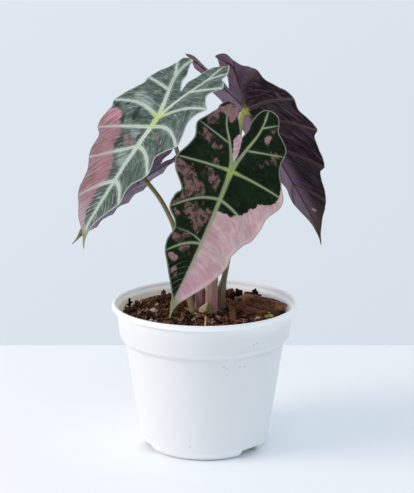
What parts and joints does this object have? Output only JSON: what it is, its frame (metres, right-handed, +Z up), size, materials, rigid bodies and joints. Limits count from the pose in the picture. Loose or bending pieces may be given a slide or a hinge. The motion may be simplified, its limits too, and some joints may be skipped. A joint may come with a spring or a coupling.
{
  "type": "potted plant",
  "caption": "Potted mask plant with waved, arrow-shaped variegated leaves on slim stalks, in bark potting mix and a white nursery pot with a stepped collar.",
  "frame": {"origin": "centre of the flat pad under the pot, on the pot's axis at floor level", "axes": "+Z up the pot's axis to the leaves, -Y towards the side with the front leaf, +X to its right as seen from there"},
  "size_m": [0.1633, 0.148, 0.2533],
  "materials": {
    "pot": "moulded white plastic, softly glossy",
    "potting_mix": "damp brown bark and fibre mix with pale grit",
    "rhizome": "rough brown buried stem",
    "bud_scale": "dry cream-yellow scale leaf",
    "front_blade": "leathery dark green marbled with pink, pale veins",
    "left_blade": "leathery grey-green with a silver sheen, pink left edge, pale veins",
    "blade_underside": "satin dark purple underside with olive ribs",
    "petiole": "smooth olive-brown stalk, pink sheath at the foot"
  },
  "bodies": {
    "root": {"pot": "pot", "potting_mix": "potting_mix", "rhizome": "rhizome", "bud_scale": "bud_scale", "front_blade": "front_blade", "front_petiole": "petiole", "left_blade": "left_blade", "left_petiole": "petiole", "right_blade": "blade_underside", "right_petiole": "petiole", "rear_blade": "blade_underside", "rear_petiole": "petiole"}
  },
  "joints": []
}
